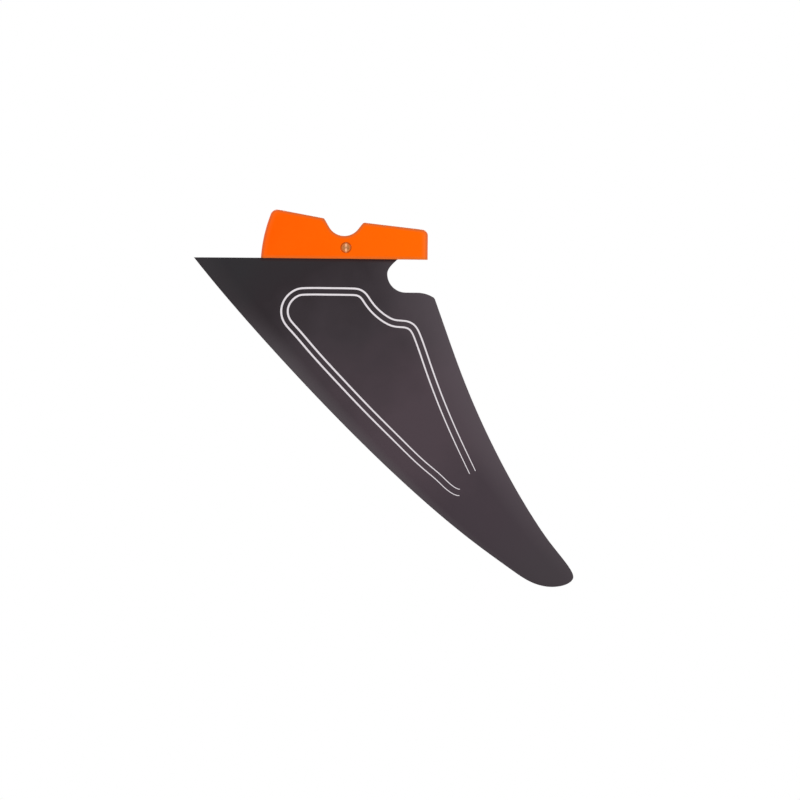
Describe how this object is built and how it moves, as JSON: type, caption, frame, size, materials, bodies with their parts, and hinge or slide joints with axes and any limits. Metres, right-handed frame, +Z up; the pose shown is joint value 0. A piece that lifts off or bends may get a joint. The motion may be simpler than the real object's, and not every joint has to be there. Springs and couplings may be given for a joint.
{
  "type": "sailboard weed fin",
  "caption": "Raked weed fin with a foil blade, a cast plug-in head and a cross nut that takes a screw from the deck.",
  "frame": {"origin": "where the screw's axis meets the hull, on the head's underside, in the fin's middle plane", "axes": "+X aft, from the leading edge to the trailing edge; +Y to starboard, across the fin; +Z up out of the hull, along the screw"},
  "size_m": [0.3756, 0.0108, 0.3675],
  "materials": {
    "blade_composite": "satin black sanded fibre laminate, a little lighter along its edges",
    "head_resin": "orange cast resin, satin",
    "nut_metal": "turned metal, dulled",
    "stripe_print": "white printed ink"
  },
  "bodies": {
    "root": {"blade": "blade_composite", "head": "head_resin", "barrel_nut": "nut_metal", "pinstripes_port": "stripe_print", "pinstripes_starboard": "stripe_print"}
  },
  "joints": []
}
